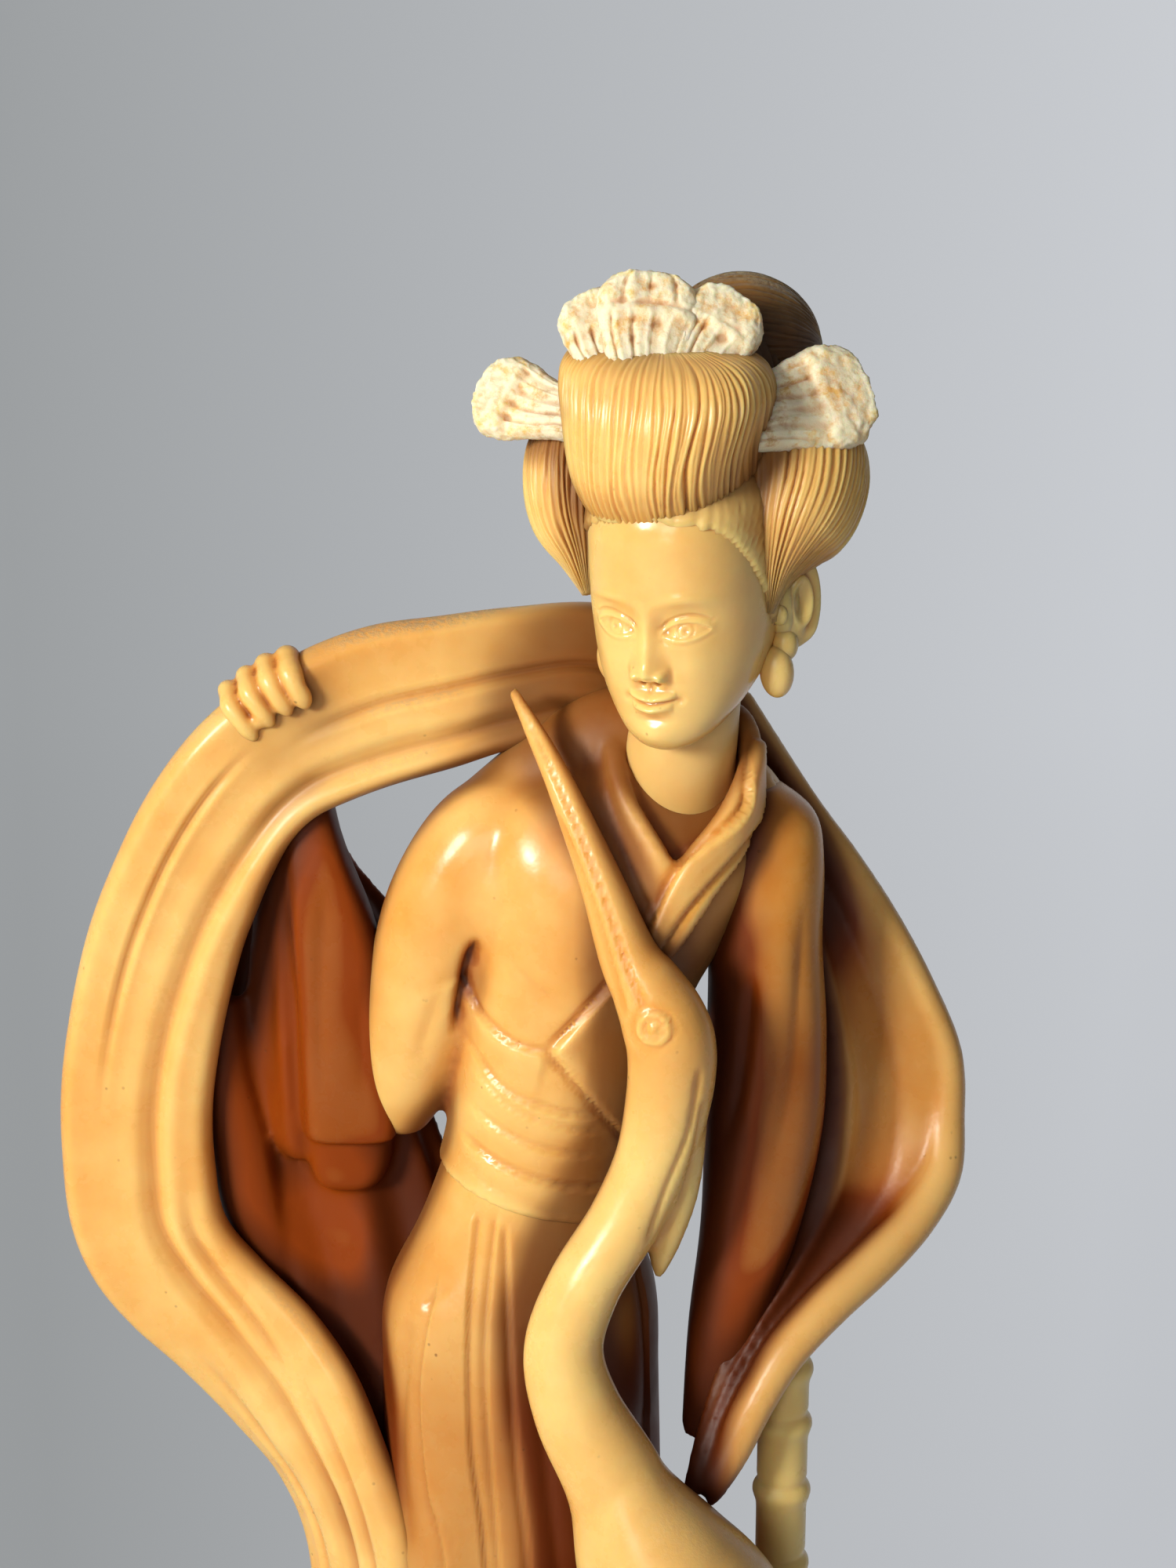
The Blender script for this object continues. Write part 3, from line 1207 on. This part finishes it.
def buildCombs():
    pieces = []
    for number, place in enumerate(combs["places"], 1):
        piece = newPiece("hair_comb_%d" % number, [combShape(*place)])
        root, tip = np.asarray(place[0]), np.asarray(place[1])
        points, facing = pointsOf(piece.data), facingOf(piece.data)
        share = np.clip((points - root) @ (tip - root) / ((tip - root) @ (tip - root)), 0.25, 1)
        chips = 0.34 * wander(points, 1.4, number) + 0.22 * wander(points, 0.5, number + 20)
        setPoints(piece.data, points + facing * (chips * share)[:, None])
        pieces.append(piece)
    return pieces


# crane
crane = {
    "voxel": 0.57,
    "eye": (13.0, -21.1, 170.6),
    "side": Vector((0.55, -0.83, 0)).normalized(),
}


def buildCrane():
    neckRows = [
        (12, -20, 97, 8, 8), (8.6, -20.5, 108.8, 6.6, 6.2), (3.7, -19.5, 118.5, 5.7, 5.4),
        (1.9, -18, 126.4, 5.1, 4.9), (4.5, -17, 134.6, 4.7, 4.7), (9.4, -15.6, 142.6, 4.6, 4.7),
        (13.2, -14.8, 150.7, 4.9, 4.9), (15.1, -15, 159.3, 5.4, 5.1), (15.4, -16, 165.9, 5.6, 5.3),
        (14.3, -16.5, 170.2, 5.4, 5.1), (12.3, -16.2, 174.2, 4.6, 4.5), (9.9, -15.3, 178.2, 3.7, 3.8),
        (6.4, -13.6, 187.6, 2.7, 2.9), (1.6, -10.5, 198.6, 1.8, 2), (-1.3, -7, 203.8, 1.3, 1.6),
        (-4.4, -3.6, 209, 0.6, 0.9),
    ]
    parts = [
        bar(neckRows, count=150, around=40),
        bar(
            [
                (17.6, -15, 165, 2.2, 2.4), (17.5, -14.4, 156, 2.5, 2.5), (16.3, -14, 147, 2.9, 2.4),
                (14.8, -13.8, 140, 2.3, 2.0), (14.2, -13.7, 136, 1.2, 1.2),
                (14, -13.6, 134.2, 0.4, 0.5),
            ]
        ),
        bar(
            [
                (8.4, -20.5, 112, 5.4, 5.2), (10, -20.7, 106, 7.8, 7.4), (13.6, -20.9, 98, 11, 10.4),
                (19, -20.2, 88, 13.2, 12.5), (26, -18, 74, 11, 10.4), (31, -16, 62, 7, 6),
                (34, -14.6, 53, 3.4, 2.8), (35, -14, 50, 1, 1),
            ],
            side=crane["side"], count=80, around=48,
        ),
    ]
    for x, y in ((20.5, -27.5), (3.5, -17)):
        parts.append(
            bar(
                [
                    (x + 1, y, 93, 2, 3), (x + 4, y + 0.6, 87, 2.6, 8), (x + 8.5, y + 1, 78, 2.6, 9.4),
                    (x + 14, y + 1.4, 66, 2.2, 7.4), (x + 19.4, y + 1.8, 53, 1.6, 4),
                    (x + 21.6, y + 2, 47, 0.8, 1.2),
                ],
                side=crane["side"], count=60, around=32,
            )
        )
    for x, y in ((14, -22), (21, -17)):
        parts.append(
            bar(
                [
                    (x, y, 80, 4, 4), (x, y, 66, 2.6, 2.6), (x, y, 40, 2.1, 2.1), (x, y, 12, 2.1, 2.1),
                    (x, y, 6, 2.4, 2.4),
                ]
            )
        )
        for reach in (-2.6, 0, 2.6):
            parts.append(
                bar(
                    [
                        (x, y, 10, 2.2, 1.6), (x + reach, y - 3.5, 10, 1.7, 1.4),
                        (x + reach * 1.7, y - 6.5, 9.6, 0.9, 0.9),
                    ],
                    side=(1, 0.2, 0),
                )
            )
    piece = cast("crane", parts, crane["voxel"], 2)
    carveEye(piece)
    engrave(piece, craneLines, reach=8)
    return piece


def carveEye(piece):  # a raised ring round a domed pupil
    points, facing = pointsOf(piece.data), facingOf(piece.data)
    eye = np.asarray(crane["eye"])
    offset = points - eye
    flat = offset - np.outer(offset @ sight, sight)
    distance = np.linalg.norm(flat, axis=1)
    near = (distance < 4) & ((facing @ sight) < -0.2) & (np.abs(offset @ sight) < 5)
    ring = (
        0.45 * hump(distance, 1.75, 0.4) - 0.4 * hump(distance, 1.15, 0.3)
        + 0.35 * hump(distance, 0, 0.7) - 0.3 * hump(distance, 2.45, 0.35)
    )
    points[near] += facing[near] * ring[near, None]
    setPoints(piece.data, points)


craneLines = [
    {
        "at": [
            (-3.6, -5, 207.6), (2.3, -11.6, 196.6), (6.6, -14.8, 186.4), (10.2, -18.4, 176.6),
            (12.2, -20.6, 172.6),
        ],
        "width": 0.32, "depth": 0.6,
    },
    {
        "at": [(1.0, -12, 196), (5.2, -15, 186), (8.2, -18, 177), (9.6, -20, 171.4)],
        "width": 0.3, "depth": 0.4,
    },
    {
        "at": [(18.8, -18, 165), (17.6, -17, 156), (14.6, -16, 147.4), (12.4, -14.8, 140)],
        "width": 0.4, "depth": 0.5,
    },
    {"at": [(19.4, -16.6, 160), (18.2, -16, 152), (16.4, -15.4, 145)], "width": 0.35, "depth": 0.35},
]


# bamboo stem and base
stem = {
    "x": 31.2,
    "y": -5.0,
    "radius": 3.4,
    "joints": (24, 40, 56, 72, 88, 99, 109, 117),
    "jointSwell": 0.55,
    "jointCut": 0.3,
    "top": 120.5,
}
base = {"halfWidth": 43.0, "halfDepth": 34.0, "height": 10.0, "round": 2.0}


def buildStem():
    rows = []
    for z in np.linspace(6, stem["top"], 220):
        swell = sum(
            stem["jointSwell"] * hump(z, joint, 1.3) - stem["jointCut"] * hump(z, joint + 1.6, 0.5)
            for joint in stem["joints"]
        )
        radius = stem["radius"] + swell + 0.9 * max(0, (40 - z) / 34)
        rows.append((stem["x"], stem["y"], z, radius, radius))
    return newPiece("bamboo_stem", [bar(rows, count=300, around=36)])


def buildBase():
    w, d, h, r = base["halfWidth"], base["halfDepth"], base["height"], base["round"]
    rows = [
        (0, 0, 0, w - 0.5, d - 0.5), (0.5, 0, 0, w, d), (4, 0, 0, w, d),
        (h - r, 0, 0, w - 0.3, d - 0.3), (h - 0.4, 0, 0, w - 1.4, d - 1.4), (h, 0, 0, w - 4, d - 4),
        (h, 0, 0, 6, 5),
    ]
    return newPiece("plinth", [stack(rows, count=44, around=144, power=2.0)])


# materials
class Wire:  # wraps a socket, so that maths on it reads as an expression
    def __init__(self, tree, socket):
        self.tree, self.socket = tree, socket

    def math(self, operation, first, second, **settings):
        node = self.tree.nodes.new("ShaderNodeMath")
        node.operation = operation
        for key, value in settings.items():
            setattr(node, key, value)
        for index, value in enumerate((first, second)):
            if isinstance(value, Wire):
                self.tree.links.new(value.socket, node.inputs[index])
            elif value is not None:
                node.inputs[index].default_value = value
        return Wire(self.tree, node.outputs[0])

    def __add__(self, other):
        return self.math("ADD", self, other)

    __radd__ = __add__

    def __sub__(self, other):
        return self.math("SUBTRACT", self, other)

    def __rsub__(self, other):
        return self.math("SUBTRACT", other, self)

    def __mul__(self, other):
        return self.math("MULTIPLY", self, other)

    __rmul__ = __mul__

    def __truediv__(self, other):
        return self.math("DIVIDE", self, other)

    def clamped(self):
        return self.math("ADD", self, 0.0, use_clamp=True)

    def above(self, low, high):  # 0 under low, 1 over high
        return ((self - low) / (high - low)).clamped()


class Finish:  # one material and its nodes
    def __init__(self, name):
        self.material = bpy.data.materials.new(name)
        self.material.use_nodes = True
        self.tree = self.material.node_tree
        self.shader = self.tree.nodes["Principled BSDF"]

    def node(self, kind, settings=None, sockets=None, output=0):
        made = self.tree.nodes.new(kind)
        for key, value in (settings or {}).items():
            setattr(made, key, value)
        for key, value in (sockets or {}).items():
            if isinstance(value, Wire):
                self.tree.links.new(value.socket, made.inputs[key])
            else:
                made.inputs[key].default_value = value
        return Wire(self.tree, made.outputs[output])

    def mix(self, share, first, second):
        made = self.tree.nodes.new("ShaderNodeMix")
        made.data_type = "RGBA"
        for index, value in ((0, share), (6, first), (7, second)):
            if isinstance(value, Wire):
                self.tree.links.new(value.socket, made.inputs[index])
            else:
                made.inputs[index].default_value = value
        return Wire(self.tree, made.outputs[2])

    def feed(self, socket, wire):
        self.tree.links.new(wire.socket, self.shader.inputs[socket])

    def set(self, socket, value):
        self.shader.inputs[socket].default_value = value


def srgb(red, green, blue):
    return (
        tuple(
            ((c / 255 + 0.055) / 1.055) ** 2.4 if c > 10 else c / 255 / 12.92
            for c in (red, green, blue)
        )
        + (1.0,)
    )


resin = {  # colours from thin pale resin to the deepest folds
    "honey": srgb(228, 150, 56),
    "pale": srgb(253, 218, 138),
    "amber": srgb(190, 100, 28),
    "hollow": srgb(110, 52, 14),
    "shade": srgb(140, 60, 8),
    "depth": srgb(62, 22, 3),
    "speck": srgb(84, 44, 16),
    "chalk": srgb(253, 242, 212),
    "dust": srgb(178, 160, 130),
    "grime": srgb(74, 50, 28),
    "roughness": 0.27,
    "subsurface": 0.4,
    "scatter": (1.0, 0.45, 0.16),
    "scatterScale": 0.0035,
}


# tint: a paler ground, then paler hollows; gloss: smoother; hollowStrength: darker hollows; dusty: dust on
# upward faces; chalk: a pale crumbly cover; speckle: dark pits; aged: a brown film; lit: paler proud edges;
# grime: darker recesses; stain: brown up to stainTop; warmTop: a deeper ground above it; both in metres
def resinFinish(
    name, tint=(0.0, 0.0), gloss=0.0, hollowStrength=1.0, dusty=0.0, chalk=0.0, speckle=1.0, aged=0.0,
    lit=0.45, grime=0.6, stain=0.0, stainTop=(1.0, 1.1), warmTop=None, shine=0.38,
):
    finish = Finish(name)
    point = finish.node("ShaderNodeTexCoord", output=3)
    hollow = finish.node("ShaderNodeAttribute", {"attribute_name": "hollow"}, output=2)
    broad = finish.node(
        "ShaderNodeTexNoise", {}, {"Vector": point, "Scale": 38.0, "Detail": 3.0, "Roughness": 0.55},
    )
    patch = finish.node(
        "ShaderNodeTexNoise", {}, {"Vector": point, "Scale": 140.0, "Detail": 4.0, "Roughness": 0.6},
    )
    grain = finish.node("ShaderNodeTexNoise", {}, {"Vector": point, "Scale": 900.0, "Detail": 2.0})
    tone = (broad.above(0.35, 0.65) * 0.45 + patch.above(0.3, 0.7) * 0.2 + (0.04 + tint[0])).clamped()
    height = finish.node("ShaderNodeSeparateXYZ", {}, {"Vector": point}, output=2)
    if warmTop:
        tone = tone * (1.0 - height.above(*warmTop) * 0.8)
    colour = finish.mix(tone, resin["honey"], resin["pale"])
    deep = (hollow.above(0.52, 0.74) * hollowStrength).clamped()
    deeper = (hollow.above(0.64, 0.95) * hollowStrength).clamped()
    colour = finish.mix(deep * (0.75 - tint[1]), colour, resin["amber"])
    colour = finish.mix(deeper * 0.85, colour, resin["hollow"])
    recess = finish.node("ShaderNodeAttribute", {"attribute_name": "recess"}, output=2)
    lower = 1.0 - height.above(*stainTop)
    colour = finish.mix((recess * grime + lower * stain).clamped(), colour, resin["shade"])
    colour = finish.mix(recess.above(0.35, 1.0) * grime * 0.8, colour, resin["depth"])
    proud = (1.0 - hollow).above(0.53, 0.70) * (1.0 - recess) * (1.0 - lower * stain)
    colour = finish.mix(proud * lit, colour, resin["pale"])
    if aged:
        colour = finish.mix((patch.above(0.2, 0.6) * 0.3 + aged).clamped(), colour, resin["grime"])
    pits = finish.node("ShaderNodeTexVoronoi", {"feature": "F1"}, {"Vector": point, "Scale": 420.0})
    specks = (1.0 - pits.above(0.05, 0.12)) * patch.above(0.56, 0.66) * (0.6 * speckle)
    colour = finish.mix(specks, colour, resin["speck"])
    if chalk:
        crumbs = finish.node(
            "ShaderNodeTexNoise", {},
            {"Vector": point, "Scale": 520.0, "Detail": 5.0, "Roughness": 0.7},
        )
        cover = (crumbs.above(0.33, 0.53) * (1.0 - deep) * chalk).clamped()
        colour = finish.mix(cover, colour, resin["chalk"])
    if dusty:
        normal = finish.node("ShaderNodeNewGeometry", output=1)
        rise = finish.node("ShaderNodeSeparateXYZ", {}, {"Vector": normal}, output=2)
        fluff = finish.node(
            "ShaderNodeTexNoise", {},
            {"Vector": point, "Scale": 1500.0, "Detail": 3.0, "Roughness": 0.7},
        )
        settled = (
            rise.above(0.35, 0.9) * fluff.above(0.38, 0.6) * (1.0 - recess.above(0.0, 0.3)) * dusty
        ).clamped()
        colour = finish.mix(settled, colour, resin["dust"])
    finish.feed("Base Color", colour)
    wear = (
        patch.above(0.35, 0.75) * 0.16 + grain * 0.06 + recess * 0.25
        + (resin["roughness"] - 0.08 - gloss)
    )
    if dusty:
        wear = wear + settled * 0.45
    if chalk:
        wear = wear + 0.35
    finish.feed("Roughness", wear.clamped())
    surface = patch * 0.5 + grain * 0.18 - specks * 0.8
    if chalk:
        surface = surface + crumbs * 2.2
    if dusty:
        surface = surface + settled * fluff * 1.5
    bump = finish.node("ShaderNodeBump", {}, {"Height": surface, "Strength": 0.35, "Distance": 0.0003})
    finish.feed("Normal", bump)
    finish.set("Subsurface Weight", resin["subsurface"])
    finish.set("Subsurface Radius", resin["scatter"])
    finish.set("Subsurface Scale", resin["scatterScale"])
    finish.set("Specular IOR Level", shine)
    return finish.material


# putting the figure together
def finishPiece(piece, material, reach=1.6):
    noteHollows(piece, reach)
    points = pointsOf(piece.data) * millimetre
    setPoints(piece.data, points)
    piece.data.polygons.foreach_set("use_smooth", [True] * len(piece.data.polygons))
    piece.data.materials.clear()
    piece.data.materials.append(material)
    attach(piece, "root")
    return piece


plainResin = resinFinish("amberResin")
sleeveResin = resinFinish(
    "agedSleeveResin", tint=(-0.1, 0.0), grime=1.0, stain=0.9, stainTop=(0.184, 0.202), lit=0.1,
    shine=0.16,
)
armResin = resinFinish(
    "shadedSleeveResin", tint=(-0.1, 0.0), grime=1.0, stain=0.8, stainTop=(0.160, 0.194), lit=0.2,
    shine=0.2,
)
leafResin = resinFinish(
    "hollowLeafResin", grime=1.0, stain=0.34, shine=0.28, dusty=0.1, hollowStrength=1.0, lit=0.5,
)
shawlResin = resinFinish("dustyShawlResin", dusty=0.6, tint=(0.1, 0.0))
faceResin = resinFinish(
    "polishedFaceResin", tint=(0.42, 0.1), gloss=0.1, hollowStrength=0.8, speckle=0.9, grime=0.08,
    shine=0.55,
)
hairResin = resinFinish("combedHairResin", tint=(0.25, 0.0), hollowStrength=1.1, dusty=0.15, lit=1.0)
bunResin = resinFinish("dustyBunResin", dusty=0.8, aged=0.6)
chalkResin = resinFinish(
    "chalkyCombResin", tint=(0.3, 0.1), hollowStrength=0.7, chalk=0.85, speckle=0.3, lit=0.6,
    grime=0.35,
)
stemResin = resinFinish("paleStemResin", tint=(0.6, 0.0), grime=0.0)
skirtResin = resinFinish("shadedSkirtResin", stain=0.45, stainTop=(0.112, 0.146), lit=0.25, shine=0.3)
craneResin = resinFinish(
    "paleCraneResin", tint=(0.25, 0.1), hollowStrength=0.9, dusty=0.2, warmTop=(0.150, 0.176),
)


def trianglesOf(piece):
    return sum(len(face.vertices) - 2 for face in piece.data.polygons)


print("resins made")
made = [finishPiece(buildSkirt(), skirtResin)]
print("skirt made")
made.append(finishPiece(buildBodice(), plainResin))
for piece, material in zip(buildSleeves(), (sleeveResin, armResin)):
    made.append(finishPiece(piece, material))
print("bodice and sleeves made")
for piece, material, reach in zip(buildShawl(), (shawlResin, leafResin), (2.0, 4.0)):
    made.append(finishPiece(piece, material, reach))
print("shawl made")
made.append(finishPiece(buildHand(), plainResin, 1.0))
made.append(finishPiece(buildHead(), faceResin, 1.0))
print("hand and head made")
for piece in buildHair():
    made.append(finishPiece(piece, bunResin if piece.name == "hair_bun" else hairResin, 0.8))
for piece in buildCombs():
    made.append(finishPiece(piece, chalkResin, 0.9))
print("hair and combs made")
made.append(finishPiece(buildCrane(), craneResin))
made.append(finishPiece(buildStem(), stemResin))
made.append(finishPiece(buildBase(), plainResin))
print("crane, stem and base made")
noteRecesses(made)
for piece in made:
    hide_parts("figurine")
print("pieces", len(made), "triangles", sum(trianglesOf(piece) for piece in made))


# floor, backdrop and light
studio = {  # metres and watts
    "leftTone": srgb(165, 168, 170),
    "rightTone": srgb(212, 215, 220),
    "nearTone": 0.9,  # the floor close by against the far wall
    "spread": 0.24,  # how much of the view the change from left to right takes
    "shown": 0.85,  # share of the painted tone that the camera sees, the rest is the lit floor
    "bend": 0.5,
    "wall": 1.3,  # metres from the figure
    "keyPlace": (-0.42, -0.46, 0.38),
    "keySize": 0.15,
    "keyPower": 4.4,
    "keyColour": (1.0, 0.96, 0.88),
    "frontPlace": (-0.24, -0.86, 0.36),
    "frontSize": 0.28,
    "frontPower": 1.3,
    "frontColour": (1.0, 0.97, 0.92),
    "skyStrength": 0.16,
    "skyColour": (0.92, 0.95, 1.0, 1),
}


def addSweep(values):  # floor that bends up into a wall
    bend, wall = values["bend"], values["wall"]
    profile = [(-2.0, 0.0), (-1.0, 0.0), (0.0, 0.0), (wall - bend, 0.0)]
    profile += [
        (wall - bend + bend * math.sin(a), bend - bend * math.cos(a))
        for a in np.linspace(0.1, math.pi / 2, 16)
    ]
    profile += [(wall, 1.2), (wall, 2.4)]
    columns = np.linspace(-2.4, 2.4, 9)
    points = [(x, y, z) for y, z in profile for x in columns]
    count = len(columns)
    faces = [
        (i * count + j, i * count + j + 1, (i + 1) * count + j + 1, (i + 1) * count + j)
        for i in range(len(profile) - 1) for j in range(count - 1)
    ]
    mesh = bpy.data.meshes.new("backdrop")
    mesh.from_pydata(points, [], faces)
    mesh.polygons.foreach_set("use_smooth", [True] * len(faces))
    sweep = bpy.data.objects.new("backdrop", mesh)
    bpy.context.scene.collection.objects.link(sweep)
    paper = Finish("paleBackdrop")
    place = paper.node("ShaderNodeTexCoord", output=3)
    aside = paper.node("ShaderNodeSeparateXYZ", {}, {"Vector": place}, output=0)
    away = paper.node("ShaderNodeSeparateXYZ", {}, {"Vector": place}, output=1)
    across = aside / (away + 0.3)
    tone = paper.mix(
        across.above(-values["spread"], values["spread"]), values["leftTone"], values["rightTone"],
    )
    near = away.above(0.9, 0.1) * (1 - values["nearTone"])
    tone = paper.mix(near, tone, (0, 0, 0, 1))
    paper.feed("Base Color", tone)
    paper.set("Roughness", 0.9)
    paper.set("Specular IOR Level", 0.1)
    glow = paper.node(
        "ShaderNodeBsdfPrincipled", {},
        {
            "Base Color": (0, 0, 0, 1), "Specular IOR Level": 0.0, "Emission Color": tone,
            "Emission Strength": 1.0,
        },
    )
    seen = sum(
        paper.node("ShaderNodeLightPath", output=name)
        for name in ("Is Camera Ray", "Is Glossy Ray", "Is Transmission Ray")
    ).clamped()
    shown = paper.node(
        "ShaderNodeMixShader", {},
        {0: seen * values["shown"], 1: Wire(paper.tree, paper.shader.outputs[0]), 2: glow},
    )
    paper.tree.links.new(shown.socket, paper.tree.nodes["Material Output"].inputs["Surface"])
    mesh.materials.append(paper.material)


def addLamp(name, location, aim, size, power, colour):
    data = bpy.data.lights.new(name, "AREA")
    data.shape = "SQUARE"
    data.size, data.energy, data.color = size, power, colour
    lamp = bpy.data.objects.new(name, data)
    bpy.context.scene.collection.objects.link(lamp)
    lamp.location = location
    lamp.rotation_euler = (Vector(aim) - Vector(location)).to_track_quat("-Z", "Y").to_euler()


def addWorld(colour, strength):
    world = bpy.data.worlds.new("studio")
    bpy.context.scene.world = world
    world.use_nodes = True
    background = world.node_tree.nodes["Background"]
    background.inputs["Color"].default_value = colour
    background.inputs["Strength"].default_value = strength


addSweep(studio)
addLamp(
    "key", studio["keyPlace"], (0, 0, 0.17), studio["keySize"], studio["keyPower"], studio["keyColour"],
)
addLamp(
    "front", studio["frontPlace"], (0.01, 0, 0.2), studio["frontSize"], studio["frontPower"],
    studio["frontColour"],
)
addWorld(studio["skyColour"], studio["skyStrength"])
bpy.context.scene.view_settings.view_transform = "Standard"
